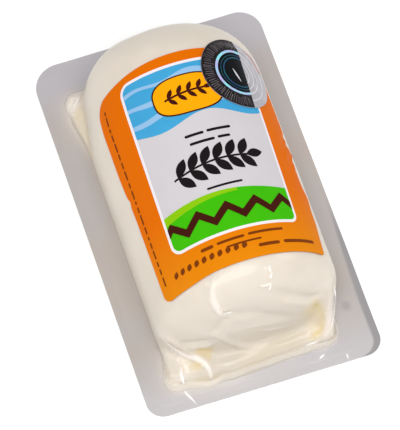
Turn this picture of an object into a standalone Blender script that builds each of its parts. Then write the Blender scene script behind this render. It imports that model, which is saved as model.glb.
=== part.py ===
"""A small goat cheese log, vacuum sealed in a clear formed pack and lying on its flat back.

The frame is in metres: +Z up, the log's axis along Y, its crumpled end towards -Y.
The origin is the middle of the pack's underside.
"""

import math

import bmesh
import bpy
import numpy as np

MM = 0.001

# The sealed rim: two films welded into one flat sheet that also runs under the log.
PACK_LENGTH = 105.0 * MM
PACK_WIDTH = 63.0 * MM
SHEET_THICK = 0.5 * MM
# Corner radii, anticlockwise from the far right corner: the die cut them unevenly.
CORNER_RADII = (6.4 * MM, 7.5 * MM, 4.5 * MM, 5.5 * MM)
CORNER_STEPS = 8

# Touching pieces keep this gap.
GAP = 0.3 * MM

# The log in its film: a round top on nearly upright sides.
LOG_RADIUS = 24.6 * MM
LOG_TOP = 35.0 * MM
LOG_CENTRE_Z = LOG_TOP - LOG_RADIUS
FAR_DOME_START = 26.0 * MM
FAR_DOME_DEPTH = 18.2 * MM
FAR_ROUNDNESS = 2.3
NEAR_DOME_START = -31.0 * MM
NEAR_DOME_DEPTH = 11.5 * MM
NEAR_ROUNDNESS = 2.6

# The low shelf where the film and the cheese pressed under it fill the foot of the formed pocket.
# Its corners are the centres of their rounding, anticlockwise from the near left one.
SHELF_CORNERS = (
    (-21.6 * MM, -43.6 * MM),
    (-8.0 * MM, -44.8 * MM),
    (17.6 * MM, -43.4 * MM),
    (20.4 * MM, -30.0 * MM),
    (20.4 * MM, 24.0 * MM),
    (10.0 * MM, 37.0 * MM),
    (-22.6 * MM, 38.6 * MM),
    (-22.4 * MM, 33.0 * MM),
    (-20.4 * MM, 22.0 * MM),
    (-20.3 * MM, -34.0 * MM),
)
SHELF_HEIGHT = 5.6 * MM
SHELF_ROUNDING = 2.9 * MM
SHELF_BLEND = 3.5 * MM

# Webs: folds of film that stand out from the log down to the shelf, in millimetres:
# start, end and radius.
WEBS = (
    ((-17.0, 34.0, 13.0), (-23.2, 37.4, 3.2), 1.6),
    ((19.4, -36.5, 17.0), (18.0, -43.0, 3.0), 2.6),
    ((-21.6, -34.5, 11.0), (-14.4, -43.0, 4.6), 1.6),
    ((-14.4, -43.0, 4.6), (-14.6, -46.2, 1.8), 1.3),
)
WEB_BLEND = 4.0 * MM

# Creases that the vacuum drew into the near end, in millimetres: the points that each one runs
# through, its half width and its depth. A negative depth is a ridge.
CREASES = (
    (((-10.0, -34.6, 32.2), (-10.1, -38.3, 29.3), (-6.6, -40.8, 25.1)), 1.4, -1.1),
    (((4.6, -36.0, 33.2), (3.4, -38.1, 31.8), (4.0, -39.8, 28.9)), 1.2, -0.6),
    (((4.4, -40.3, 27.6), (11.8, -40.9, 21.1), (18.0, -40.7, 16.0)), 1.6, 1.2),
    (((-6.5, -41.4, 22.4), (-0.5, -41.8, 21.6), (7.5, -42.0, 17.6)), 1.8, 1.7),
    (((-6.5, -41.4, 22.4), (-11.3, -41.6, 16.9)), 1.5, 0.9),
    (((-12.8, -41.4, 15.0), (-7.1, -42.4, 8.6), (3.4, -43.1, 7.6)), 1.5, -1.2),
    (((16.3, -40.9, 14.0), (15.6, -42.6, 8.0)), 1.8, 1.2),
    (((-20.0, -38.6, 15.5), (-15.0, -41.2, 13.4)), 1.8, 0.9),
)
# Creases fade out between these heights, so that the foot stays flat.
CREASE_FADE_LOW = 1.0 * MM
CREASE_FADE_HIGH = 4.0 * MM

# The mesh over the log: cells across it, along its straight middle and over each end.
CELLS_ACROSS = 52
CELLS_MIDDLE = 24
CELLS_END = 26
# Its points are found along rays that leave a strip of this half width on the pocket's floor.
RAY_SPREAD = 13.0 * MM
REACH = 90.0 * MM
HALVINGS = 40

# The printed label, wrapped over the top of the log a little to the right of its middle.
LABEL_NEAR = -32.9 * MM
LABEL_FAR = 28.5 * MM
LABEL_HALF_ARC = 25.4 * MM
LABEL_SHIFT = 0.7 * MM
LABEL_CORNER = 2.8 * MM
LABEL_THICK = 0.4 * MM
LABEL_CELLS_ACROSS = 24
LABEL_CELLS_ALONG = 24

# The round foil seal over the label's far right corner.
SEAL_RADIUS = 10.6 * MM
SEAL_ARC = 16.6 * MM
SEAL_Y = 20.6 * MM
SEAL_THICK = 0.3 * MM
# It comes down from the label to the film between these distances past the label's edge.
SEAL_STEP_START = 0.6 * MM
SEAL_STEP_END = 3.0 * MM
SEAL_RINGS = 6
SEAL_SPOKES = 36


def smooth_step(low, high, value):
    """0 below low, 1 above high, and a smooth S between them."""
    t = np.clip((value - low) / (high - low), 0.0, 1.0)
    return t * t * (3.0 - 2.0 * t)


def smooth_union(a, b, blend):
    """The lower of two distances, with the corner between them rounded over the width blend."""
    near = np.maximum(blend - np.abs(a - b), 0.0) / blend
    return np.minimum(a, b) - near * near * blend / 4.0


def log_distance(p):
    """Below 0 inside the log: a cylinder along Y, domed at the far end and squarer at the near one."""
    round_part = np.hypot(p[..., 0], p[..., 2] - LOG_CENTRE_Z) / LOG_RADIUS
    far = np.maximum(p[..., 1] - FAR_DOME_START, 0.0) / FAR_DOME_DEPTH
    near = np.maximum(NEAR_DOME_START - p[..., 1], 0.0) / NEAR_DOME_DEPTH
    power = np.where(p[..., 1] > 0.0, FAR_ROUNDNESS, NEAR_ROUNDNESS)
    return LOG_RADIUS * ((round_part**power + (far + near) ** power) ** (1.0 / power) - 1.0)


def outline_distance(x, y, corners):
    """Distance in plan to an outline of straight sides, below 0 inside it."""
    nearest = np.full(x.shape, np.inf)
    inside = np.zeros(x.shape, dtype=bool)
    for (ax, ay), (bx, by) in zip(corners, corners[1:] + corners[:1]):
        side = (bx - ax) ** 2 + (by - ay) ** 2
        share = np.clip(((x - ax) * (bx - ax) + (y - ay) * (by - ay)) / side, 0.0, 1.0)
        nearest = np.minimum(nearest, np.hypot(x - ax - share * (bx - ax), y - ay - share * (by - ay)))
        if ay != by:
            crosses = ((ay > y) != (by > y)) & (x < ax + (y - ay) * (bx - ax) / (by - ay))
            inside ^= crosses
    return np.where(inside, -nearest, nearest)


def shelf_distance(p):
    """Below 0 inside the shelf: a low slab with rounded corners and edges, standing on the rim."""
    out = np.stack(
        [
            outline_distance(p[..., 0], p[..., 1], SHELF_CORNERS),
            np.abs(p[..., 2]) - SHELF_HEIGHT + SHELF_ROUNDING,
        ],
        axis=-1,
    )
    outside = np.linalg.norm(np.maximum(out, 0.0), axis=-1)
    return outside + np.minimum(out.max(axis=-1), 0.0) - SHELF_ROUNDING


def segment_distance(p, start, end):
    """Distance to a straight line between two points given in millimetres."""
    start = np.array(start) * MM
    line = np.array(end) * MM - start
    share = np.clip((p - start) @ line / (line @ line), 0.0, 1.0)
    return np.linalg.norm(p - start - share[..., None] * line, axis=-1)


def pack_distance(p):
    """Below 0 inside the filled pocket: the log, its shelf and its webs, flowing into each other."""
    distance = smooth_union(log_distance(p), shelf_distance(p), SHELF_BLEND)
    for start, end, radius in WEBS:
        web = segment_distance(p, start, end) - radius * MM
        distance = smooth_union(distance, web, WEB_BLEND)
    return distance


def pocket_point(start, direction):
    """Where rays from inside the pocket leave it, found by halving the reach again and again."""
    inside = np.zeros(start.shape[:-1])
    outside = np.full(start.shape[:-1], REACH)
    for _ in range(HALVINGS):
        middle = (inside + outside) / 2.0
        hit = pack_distance(start + direction * middle[..., None]) < 0.0
        inside = np.where(hit, middle, inside)
        outside = np.where(hit, outside, middle)
    return start + direction * outside[..., None]


def outward(p):
    """Unit vectors out of the pocket, from the slope of its distance."""
    step = 0.05 * MM
    slope = np.stack(
        [
            pack_distance(p + np.eye(3)[axis] * step) - pack_distance(p - np.eye(3)[axis] * step)
            for axis in range(3)
        ],
        axis=-1,
    )
    return slope / np.linalg.norm(slope, axis=-1, keepdims=True)


def creased(p):
    """Points of the pocket moved in by the depth of the creases that they lie in.

    A crease has the section depth * exp(-(distance / half width)^2).
    """
    depth = np.zeros(p.shape[:-1])
    for points, half_width, full_depth in CREASES:
        line = np.min([segment_distance(p, a, b) for a, b in zip(points, points[1:])], axis=0)
        depth += full_depth * MM * np.exp(-((line / (half_width * MM)) ** 2))
    depth *= smooth_step(CREASE_FADE_LOW, CREASE_FADE_HIGH, p[..., 2])
    return p - outward(p) * depth[..., None]


def pocket_grid():
    """Points over the filled pocket, as rows along it and columns across it.

    Rays leave a strip on the floor of the pocket. Along its middle they fan out across the log.
    At its ends they also tip over lengthways, by the square-to-disc rule
    x = a sqrt(1 - b^2 / 2), y = b sqrt(1 - a^2 / 2), so that the outermost rays lie flat.
    """
    across = np.linspace(-1.0, 1.0, CELLS_ACROSS + 1)
    tip = np.linspace(0.0, 1.0, CELLS_END + 1)
    along = np.concatenate([-tip[:0:-1], np.zeros(CELLS_MIDDLE + 1), tip[1:]])
    floor_y = np.concatenate(
        [
            np.full(CELLS_END, NEAR_DOME_START),
            np.linspace(NEAR_DOME_START, FAR_DOME_START, CELLS_MIDDLE + 1),
            np.full(CELLS_END, FAR_DOME_START),
        ]
    )
    b, a = np.meshgrid(along, across, indexing="ij")
    x = a * np.sqrt(1.0 - b * b / 2.0)
    y = b * np.sqrt(1.0 - a * a / 2.0)
    lean = np.hypot(x, y)
    turn = np.arctan2(y, x)
    angle = np.minimum(lean, 1.0) * math.pi / 2.0
    direction = np.stack(
        [np.sin(angle) * np.cos(turn), np.sin(angle) * np.sin(turn), np.cos(angle)], axis=-1
    )
    start = np.empty(direction.shape)
    start[..., 0] = x * RAY_SPREAD
    start[..., 1] = floor_y[:, None]
    start[..., 2] = SHEET_THICK + GAP
    return pocket_point(start, direction)


def wrap_point(arc, y):
    """The place on the pocket at an arc length across the log from its top line, and at y along it."""
    angle = arc / LOG_RADIUS
    direction = np.stack([np.sin(angle), np.zeros_like(angle), np.cos(angle)], axis=-1)
    start = np.stack([np.zeros_like(y), y, np.full_like(y, LOG_CENTRE_Z)], axis=-1)
    return pocket_point(start, direction)


def label_half_arc(y):
    """Half the label's width at y, drawn in by a quarter circle at each corner."""
    to_end = np.minimum(y - LABEL_NEAR, LABEL_FAR - y)
    short = np.clip(LABEL_CORNER - to_end, 0.0, LABEL_CORNER)
    return LABEL_HALF_ARC - LABEL_CORNER + np.sqrt(LABEL_CORNER**2 - short**2)


def add_object(name, mesh_data, material, smooth_degrees=40.0):
    """Makes a named object of a bmesh, shaded smooth but for edges sharper than smooth_degrees."""
    bmesh.ops.recalc_face_normals(mesh_data, faces=mesh_data.faces)
    mesh = bpy.data.meshes.new(name)
    mesh_data.to_mesh(mesh)
    mesh_data.free()
    mesh.materials.append(material)
    mesh.shade_smooth()
    mesh.set_sharp_from_angle(angle=math.radians(smooth_degrees))
    thing = bpy.data.objects.new(name, mesh)
    bpy.context.scene.collection.objects.link(thing)
    return thing


def make_material(name, hex_colour, roughness, alpha=1.0):
    """A Principled BSDF of one sRGB colour."""
    material = bpy.data.materials.new(name)
    material.use_nodes = True
    shader = material.node_tree.nodes["Principled BSDF"]
    channels = [int(hex_colour[i : i + 2], 16) / 255.0 for i in (1, 3, 5)]
    linear = [c / 12.92 if c <= 0.04045 else ((c + 0.055) / 1.055) ** 2.4 for c in channels]
    shader.inputs["Base Color"].default_value = (*linear, 1.0)
    shader.inputs["Roughness"].default_value = roughness
    shader.inputs["Metallic"].default_value = 0.0
    shader.inputs["Alpha"].default_value = alpha
    return material


def grid_faces(shell, rows, columns, first=0):
    """Quads over a grid of bmesh vertices, held row by row from the vertex numbered first."""
    for i in range(rows - 1):
        for j in range(columns - 1):
            c = first + i * columns + j
            shell.faces.new([shell.verts[k] for k in (c, c + 1, c + columns + 1, c + columns)])


def closed_skin(outer, inner):
    """A closed solid of two grids of points: outer face, inner face and a strip round the edge."""
    rows, columns = outer.shape[:2]
    skin = bmesh.new()
    for p in np.concatenate([outer.reshape(-1, 3), inner.reshape(-1, 3)]):
        skin.verts.new(p)
    skin.verts.ensure_lookup_table()
    size = rows * columns
    grid_faces(skin, rows, columns)
    grid_faces(skin, rows, columns, size)
    rim = [(0, j) for j in range(columns)]
    rim += [(i, columns - 1) for i in range(1, rows)]
    rim += [(rows - 1, j) for j in range(columns - 2, -1, -1)]
    rim += [(i, 0) for i in range(rows - 2, 0, -1)]
    index = [i * columns + j for i, j in rim]
    for a, b in zip(index, index[1:] + index[:1]):
        skin.faces.new([skin.verts[k] for k in (a, b, b + size, a + size)])
    return skin


def build_rim_sheet():
    """The flat welded sheet under and round the log: a rounded rectangle, extruded to its thickness."""
    sheet = bmesh.new()
    outline = []
    signs = ((1, 1), (-1, 1), (-1, -1), (1, -1))
    for quarter, ((sx, sy), radius) in enumerate(zip(signs, CORNER_RADII)):
        cx = sx * (PACK_WIDTH / 2.0 - radius)
        cy = sy * (PACK_LENGTH / 2.0 - radius)
        for step in range(CORNER_STEPS + 1):
            angle = (quarter + step / CORNER_STEPS) * math.pi / 2.0
            outline.append((cx + radius * math.cos(angle), cy + radius * math.sin(angle), 0.0))
    face = sheet.faces.new([sheet.verts.new(p) for p in outline])
    made = bmesh.ops.extrude_face_region(sheet, geom=[face])
    top = [v for v in made["geom"] if isinstance(v, bmesh.types.BMVert)]
    bmesh.ops.translate(sheet, verts=top, vec=(0.0, 0.0, SHEET_THICK))
    film = make_material("clear_film", "#BDB7B7", 0.25, 0.6)
    return add_object("rim_sheet", sheet, film)


def build_sealed_log():
    """The filled pocket: the cheese log with its film drawn tight, flat where it lies on the sheet."""
    points = creased(pocket_grid())
    rows, columns = points.shape[:2]
    body = bmesh.new()
    for p in points.reshape(-1, 3):
        body.verts.new(p)
    body.verts.ensure_lookup_table()
    grid_faces(body, rows, columns)
    foot = [e for e in body.edges if e.is_boundary]
    bmesh.ops.contextual_create(body, geom=foot)
    cheese = make_material("cheese_in_film", "#E9E2D2", 0.3)
    return add_object("sealed_log", body, cheese)


def build_label():
    """The paper label: a thin skin over the log with rounded corners."""
    share = np.linspace(0.0, 1.0, LABEL_CELLS_ALONG + 1)
    # Rows crowd towards both ends, where the corners turn.
    share = (1.0 - np.cos(share * math.pi)) / 2.0
    y = LABEL_NEAR + (LABEL_FAR - LABEL_NEAR) * share
    across = np.linspace(-1.0, 1.0, LABEL_CELLS_ACROSS + 1)
    arc = LABEL_SHIFT + label_half_arc(y)[:, None] * across[None, :]
    on_log = wrap_point(arc, np.broadcast_to(y[:, None], arc.shape))
    normal = outward(on_log)
    skin = closed_skin(on_log + normal * (GAP + LABEL_THICK), on_log + normal * GAP)
    paper = make_material("orange_label", "#F27A0A", 0.35)
    return add_object("label", skin, paper)


def seal_lift(arc, y):
    """How far the seal's underside stands off the log.

    It clears the label, and comes down to the film past the label's edge.
    """
    past = np.maximum(arc - LABEL_SHIFT - LABEL_HALF_ARC, y - LABEL_FAR)
    return GAP + (LABEL_THICK + GAP) * (1.0 - smooth_step(SEAL_STEP_START, SEAL_STEP_END, past))


def build_round_seal():
    """The round foil seal: rings of points about its middle, thickened and closed."""
    turn = np.arange(SEAL_SPOKES) * 2.0 * math.pi / SEAL_SPOKES
    ring = np.arange(1, SEAL_RINGS + 1) / SEAL_RINGS * SEAL_RADIUS
    arc = SEAL_ARC + np.append(0.0, np.outer(ring, np.cos(turn)))
    y = SEAL_Y + np.append(0.0, np.outer(ring, np.sin(turn)))
    on_log = wrap_point(arc, y)
    normal = outward(on_log)
    lift = seal_lift(arc, y)[:, None]
    seal = bmesh.new()
    count = len(arc)
    for p in np.concatenate([on_log + normal * (lift + SEAL_THICK), on_log + normal * lift]):
        seal.verts.new(p)
    seal.verts.ensure_lookup_table()
    last = 1 + (SEAL_RINGS - 1) * SEAL_SPOKES
    for base in (0, count):
        for k in range(SEAL_SPOKES):
            k2 = (k + 1) % SEAL_SPOKES
            seal.faces.new([seal.verts[base + n] for n in (0, 1 + k, 1 + k2)])
            for r in range(SEAL_RINGS - 1):
                a = base + 1 + r * SEAL_SPOKES
                corners = (a + k, a + SEAL_SPOKES + k, a + SEAL_SPOKES + k2, a + k2)
                seal.faces.new([seal.verts[n] for n in corners])
    for k in range(SEAL_SPOKES):
        a, b = last + k, last + (k + 1) % SEAL_SPOKES
        seal.faces.new([seal.verts[n] for n in (a, b, b + count, a + count)])
    foil = make_material("dark_foil", "#2B2A2C", 0.3)
    return add_object("round_seal", seal, foil)


def main():
    for thing in list(bpy.data.objects):
        bpy.data.objects.remove(thing)
    build_rim_sheet()
    build_sealed_log()
    build_label()
    build_round_seal()


main()
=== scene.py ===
import math

import bpy
import numpy as np
from mathutils import Matrix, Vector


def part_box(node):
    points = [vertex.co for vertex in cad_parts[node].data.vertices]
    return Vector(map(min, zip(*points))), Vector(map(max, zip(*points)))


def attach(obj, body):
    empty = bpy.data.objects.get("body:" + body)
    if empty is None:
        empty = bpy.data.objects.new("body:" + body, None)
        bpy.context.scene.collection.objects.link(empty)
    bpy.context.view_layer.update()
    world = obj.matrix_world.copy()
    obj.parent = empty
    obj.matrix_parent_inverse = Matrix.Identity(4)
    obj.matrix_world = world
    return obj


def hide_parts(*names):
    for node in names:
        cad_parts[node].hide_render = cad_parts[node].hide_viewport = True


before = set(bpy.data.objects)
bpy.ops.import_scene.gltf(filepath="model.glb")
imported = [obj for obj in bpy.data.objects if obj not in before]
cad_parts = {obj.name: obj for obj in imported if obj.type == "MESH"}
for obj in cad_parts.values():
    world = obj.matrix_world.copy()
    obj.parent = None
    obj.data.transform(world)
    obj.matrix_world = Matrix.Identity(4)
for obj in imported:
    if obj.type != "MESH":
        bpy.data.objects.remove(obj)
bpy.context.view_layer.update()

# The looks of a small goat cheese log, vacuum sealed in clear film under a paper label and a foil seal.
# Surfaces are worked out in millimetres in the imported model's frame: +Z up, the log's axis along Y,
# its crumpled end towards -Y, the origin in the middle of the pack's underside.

MM = 0.001

# The sheet of two welded films, from the frame.
sheet_low, sheet_high = [np.array(corner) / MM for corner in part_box("rim_sheet")]
PACK_WIDTH = sheet_high[0] - sheet_low[0]
PACK_LENGTH = sheet_high[1] - sheet_low[1]
SHEET_TOP = sheet_high[2]
# Corner radii of the die cut: near left, near right, far left and far right.
NEAR_LEFT, NEAR_RIGHT, FAR_LEFT, FAR_RIGHT = 4.5, 4.6, 7.5, 6.4

# The formed pocket: a log with a domed far end and a squarer near end.
LOG_RADIUS = 24.6
LOG_CENTRE_Z = 10.4
FAR_DOME_START = 26.0
FAR_DOME_DEPTH = 18.8
FAR_ROUNDNESS = 2.4
NEAR_DOME_START = -31.0
NEAR_DOME_DEPTH = 11.5
NEAR_ROUNDNESS = 2.6
# On its left the log is a little slimmer towards its far end, and its far shoulder is fuller.
# Both begin and are full at these distances left of the axis, and the slimming at these y.
LEFT_ROUNDNESS = 0.5
LEFT_SLIMMING = 0.075
LEFT_SIDE = (4.0, 16.0)
SLIM_PART = (16.0, 32.0)

# The low shelf round the foot of the log: the centres of its outline's rounding.
SHELF_CORNERS = (
    (-21.6, -43.6),
    (-8.0, -44.8),
    (17.6, -43.4),
    (20.4, -30.0),
    (20.4, 24.0),
    (10.0, 37.0),
    (-22.6, 38.6),
    (-22.4, 33.0),
    (-20.4, 22.0),
    (-20.3, -34.0),
)
SHELF_HEIGHT = 5.6
SHELF_ROUNDING = 2.9
SHELF_BLEND = 3.5

# Webs of film that stand out from the log down to the shelf: start, end and radius.
WEBS = (
    ((-17.0, 34.0, 13.0), (-23.2, 37.4, 3.2), 1.6),
    ((19.4, -36.5, 17.0), (18.0, -43.0, 3.0), 2.6),
    ((-21.6, -34.5, 11.0), (-14.4, -43.0, 4.6), 1.6),
    ((-14.4, -43.0, 4.6), (-14.6, -46.2, 1.8), 1.3),
)
WEB_BLEND = 4.0

# Relief that the vacuum drew into the film and the soft cheese: the points that each fold runs
# through, its half width and its height. A negative height is a crease.
FOLDS = (
    # The broad upright fold at the left of the near shoulder, and the dip beside it.
    (((-8.6, -32.6, 33.6), (-9.7, -35.5, 32.0), (-10.3, -37.1, 30.6), (-10.0, -38.7, 28.6),
      (-9.3, -40.0, 26.3), (-6.6, -40.8, 25.2)), 1.5, 0.75),
    (((-12.4, -33.0, 32.2), (-12.8, -36.2, 30.2), (-12.2, -39.2, 27.0), (-10.4, -41.0, 23.6)),
     1.6, -0.45),
    # The small crumple in the middle of the shoulder.
    (((4.8, -34.4, 34.2), (4.6, -36.7, 32.9), (3.4, -38.1, 31.8), (4.0, -39.8, 28.9)), 0.9, 0.3),
    (((0.6, -38.4, 31.6), (2.7, -38.5, 31.3), (4.4, -39.0, 30.3)), 0.7, 0.3),
    # The long crease down to the right shoulder, with the light ledge under it.
    (((2.9, -39.9, 29.2), (7.2, -40.5, 26.2), (11.4, -40.8, 22.4), (15.0, -40.6, 18.6),
      (18.6, -40.2, 16.2)), 1.4, -0.65),
    (((6.4, -41.2, 24.0), (10.0, -41.6, 20.6), (14.6, -41.6, 15.6)), 0.9, 0.3),
    # The brow over the sunken face, and the face's left edge.
    (((-9.9, -40.8, 23.2), (-7.0, -41.1, 24.0), (-3.3, -41.5, 23.3), (-0.3, -41.8, 22.2),
      (3.8, -42.2, 18.6), (8.4, -42.2, 14.2), (11.8, -41.8, 11.8)), 1.8, -0.65),
    (((-7.6, -41.3, 23.4), (-9.6, -41.3, 20.6), (-11.6, -41.6, 16.6)), 1.3, -0.5),
    # Fine streaks across the face.
    (((-1.2, -42.5, 14.4), (2.0, -42.5, 11.4), (5.1, -42.4, 10.2), (7.9, -42.3, 8.5)), 0.8, 0.2),
    (((-3.6, -42.2, 16.6), (0.6, -42.4, 15.4), (5.4, -42.3, 13.6)), 0.7, 0.2),
    # The crescent under the face.
    (((-12.8, -41.3, 18.6), (-9.4, -42.1, 14.0), (-5.6, -42.5, 7.9), (-2.8, -43.2, 6.2),
      (0.1, -43.8, 5.8), (3.7, -43.4, 6.0), (7.6, -42.6, 7.0)), 1.0, 0.5),
    # Folds at the left of the near end.
    (((-22.8, -36.8, 13.4), (-21.6, -38.5, 11.8), (-18.9, -40.8, 8.9), (-16.1, -42.8, 7.7),
      (-14.8, -44.4, 7.0)), 1.1, 0.8),
    (((-19.8, -39.4, 12.0), (-17.6, -40.3, 12.4), (-15.5, -41.0, 12.8), (-12.4, -41.5, 14.8)),
     1.1, -0.6),
    (((-18.4, -40.4, 10.7), (-15.9, -41.2, 9.9), (-13.8, -41.5, 10.4), (-10.9, -41.8, 12.4)),
     0.9, 0.5),
    (((-15.9, -41.2, 9.4), (-13.7, -42.1, 8.1), (-12.0, -43.1, 7.0)), 0.9, -0.5),
    # The ear at the near left corner.
    (((-14.8, -44.4, 7.0), (-14.4, -45.4, 6.6), (-14.0, -46.9, 5.0), (-14.2, -47.9, 2.6)), 0.8, 0.6),
    (((-20.2, -41.8, 6.2), (-21.2, -44.6, 5.5), (-21.3, -46.5, 3.1)), 0.8, 0.4),
    # The pocket and the fold of the web at the right.
    (((16.2, -40.7, 16.0), (17.0, -41.7, 11.6), (16.9, -43.0, 8.4), (15.8, -44.8, 6.1),
      (13.2, -46.0, 4.8)), 1.5, -0.6),
    (((21.8, -38.6, 17.4), (20.7, -41.0, 12.0), (19.7, -43.1, 8.3), (19.0, -45.6, 5.0)), 0.9, 0.6),
    # Puckers across the label's right edge.
    (((22.6, 0.4, 20.4), (21.2, -1.4, 23.0), (19.6, -4.6, 25.2)), 0.7, 0.3),
    (((22.6, -2.6, 20.2), (21.6, -5.8, 22.2), (20.0, -11.0, 24.6)), 0.8, 0.25),
    (((22.9, 5.0, 19.8), (21.9, 2.6, 21.8), (20.9, 0.2, 23.4)), 0.7, -0.3),
    # The tent at the far left corner.
    (((-21.6, 37.0, 9.4), (-23.4, 35.9, 7.0), (-24.8, 35.0, 3.4)), 0.6, 0.5),
    (((-24.6, 38.6, 4.9), (-23.3, 39.4, 6.2), (-20.6, 39.0, 7.8)), 0.8, 0.5),
    (((-24.6, 31.6, 3.6), (-23.6, 27.0, 4.4), (-22.8, 20.0, 4.0)), 1.0, 0.4),
)
FOLD_FADE = 0.22
PATH_STEPS = 22
# Folds fade out between these heights, so that the foot lies flat.
FOOT_FADE_LOW = 1.0
FOOT_FADE_HIGH = 3.4

# Shallow facets over the near end: how deep, how wide, how far their lines bend and how fast, and
# where they begin and are full.
FACET_DEPTH = 0.18
FACET_WIDTHS = (2.6, 3.7, 5.2, 7.4)
FACET_BEND = 0.25
FACET_BEND_TURN = 0.16
FACET_START = -33.0
FACET_FULL = -40.0

# Where the tight film turns out onto the sheet, at the near end alone.
LIP_HEIGHT = 3.6
LIP_WIDTH = 0.9
LIP_POWER = 1.4
LIP_START = -36.0
LIP_FULL = -43.0

# Cells of the fine meshes: across the log, along its middle, over the near end and the far end.
FILM_CELLS = (236, 90, 190, 110)
CHEESE_CELLS = (200, 70, 170, 90)
# How wide a strip the rays leave, how far they may reach, and how often that reach is halved.
RAY_SPREAD = 13.0
REACH = 90.0
HALVINGS = 36
# The step over which a surface's slope is measured.
SLOPE_STEP = 0.05
# How high above the sheet the film and the cheese end.
FILM_FLOOR = SHEET_TOP + 0.05
CHEESE_FLOOR = SHEET_TOP + 0.08
# How deep the cheese lies under the film, and its shares of the film's folds and webs.
CHEESE_INSET = 0.22
CHEESE_FOLD_SHARE = 0.85
CHEESE_WEB_SHARE = 0.7


def smooth_step(low, high, value):
    """0 below low, 1 above high, and 3t^2 - 2t^3 between them."""
    t = np.clip((value - low) / (high - low), 0.0, 1.0)
    return t * t * (3.0 - 2.0 * t)


def smooth_union(a, b, blend):
    """The lower of two distances, with the corner between them rounded over the width blend."""
    near = np.maximum(blend - np.abs(a - b), 0.0) / blend
    return np.minimum(a, b) - near * near * blend / 4.0


def log_distance(p):
    """Below 0 inside the log.

    The distance from its axis and the way into a domed end, each as a share of its full size, are
    added as powers: r^n + e^n = 1 on the surface, with a larger n at the squarer near end and at
    the far left shoulder.
    """
    left = smooth_step(*LEFT_SIDE, -p[..., 0])
    slimmed = 1.0 - LEFT_SLIMMING * left * smooth_step(*SLIM_PART, p[..., 1])
    round_part = np.hypot(p[..., 0] / slimmed, p[..., 2] - LOG_CENTRE_Z) / LOG_RADIUS
    far = np.maximum(p[..., 1] - FAR_DOME_START, 0.0) / FAR_DOME_DEPTH
    near = np.maximum(NEAR_DOME_START - p[..., 1], 0.0) / NEAR_DOME_DEPTH
    power = np.where(p[..., 1] > 0.0, FAR_ROUNDNESS + LEFT_ROUNDNESS * left, NEAR_ROUNDNESS)
    return LOG_RADIUS * ((round_part**power + (far + near) ** power) ** (1.0 / power) - 1.0)


def outline_distance(x, y, corners):
    """Distance in plan to an outline of straight sides, below 0 inside it."""
    nearest = np.full(x.shape, np.inf)
    inside = np.zeros(x.shape, dtype=bool)
    for (ax, ay), (bx, by) in zip(corners, corners[1:] + corners[:1]):
        side = (bx - ax) ** 2 + (by - ay) ** 2
        share = np.clip(((x - ax) * (bx - ax) + (y - ay) * (by - ay)) / side, 0.0, 1.0)
        nearest = np.minimum(nearest, np.hypot(x - ax - share * (bx - ax), y - ay - share * (by - ay)))
        if ay != by:
            inside ^= ((ay > y) != (by > y)) & (x < ax + (y - ay) * (bx - ax) / (by - ay))
    return np.where(inside, -nearest, nearest)


def shelf_distance(p):
    """Below 0 inside the shelf: a low slab of its outline, rounded by the radius SHELF_ROUNDING."""
    across = outline_distance(p[..., 0], p[..., 1], SHELF_CORNERS)
    up = np.abs(p[..., 2]) - SHELF_HEIGHT + SHELF_ROUNDING
    outside = np.hypot(np.maximum(across, 0.0), np.maximum(up, 0.0))
    return outside + np.minimum(np.maximum(across, up), 0.0) - SHELF_ROUNDING


def segment_distance(p, start, end):
    """Distance to the straight line between two points."""
    start = np.array(start)
    line = np.array(end) - start
    share = np.clip((p - start) @ line / (line @ line), 0.0, 1.0)
    return np.linalg.norm(p - start - share[..., None] * line, axis=-1)


def pocket_distance(p, web_share=1.0):
    """Below 0 inside the filled pocket: log, shelf and webs, flowing into each other."""
    distance = smooth_union(log_distance(p), shelf_distance(p), SHELF_BLEND)
    for start, end, radius in WEBS:
        web = segment_distance(p, start, end) - radius * web_share
        distance = smooth_union(distance, web, WEB_BLEND * web_share)
    return distance


def slope_of(distance, p):
    """Unit vectors out of a distance's zero surface, by differences over SLOPE_STEP either way."""
    step = np.eye(3) * SLOPE_STEP
    slope = np.stack([distance(p + s) - distance(p - s) for s in step], axis=-1)
    return slope / np.linalg.norm(slope, axis=-1, keepdims=True)


def ray_end(distance, start, direction):
    """Where rays from inside a zero surface leave it, found by halving the reach again and again."""
    inside = np.zeros(start.shape[:-1])
    outside = np.full(start.shape[:-1], REACH)
    for _ in range(HALVINGS):
        middle = (inside + outside) / 2.0
        hit = distance(start + direction * middle[..., None]) < 0.0
        inside = np.where(hit, middle, inside)
        outside = np.where(hit, outside, middle)
    return start + direction * outside[..., None]


def smooth_path(points, count):
    """A Catmull-Rom curve: cubic spans whose end slopes are half the step between neighbours."""
    p = np.array(points, dtype=float)
    p = np.concatenate([[2.0 * p[0] - p[1]], p, [2.0 * p[-1] - p[-2]]])
    spans = len(p) - 3
    at = np.linspace(0.0, spans, count)
    k = np.minimum(at.astype(int), spans - 1)
    t = (at - k)[:, None]
    a, b, c, d = p[k], p[k + 1], p[k + 2], p[k + 3]
    square = (2.0 * a - 5.0 * b + 4.0 * c - d) * t**2
    return 0.5 * (2.0 * b + (c - a) * t + square + (3.0 * b - a - 3.0 * c + d) * t**3)


def along_path(p, path):
    """Distance from each point to a path, and how far along it, from 0 to 1, the nearest place lies."""
    nearest = np.full(p.shape[:-1], np.inf)
    where = np.zeros(p.shape[:-1])
    steps = len(path) - 1
    for k in range(steps):
        line = path[k + 1] - path[k]
        share = np.clip((p - path[k]) @ line / (line @ line), 0.0, 1.0)
        distance = np.linalg.norm(p - path[k] - share[..., None] * line, axis=-1)
        where = np.where(distance < nearest, (k + share) / steps, where)
        nearest = np.minimum(nearest, distance)
    return nearest, where


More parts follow.
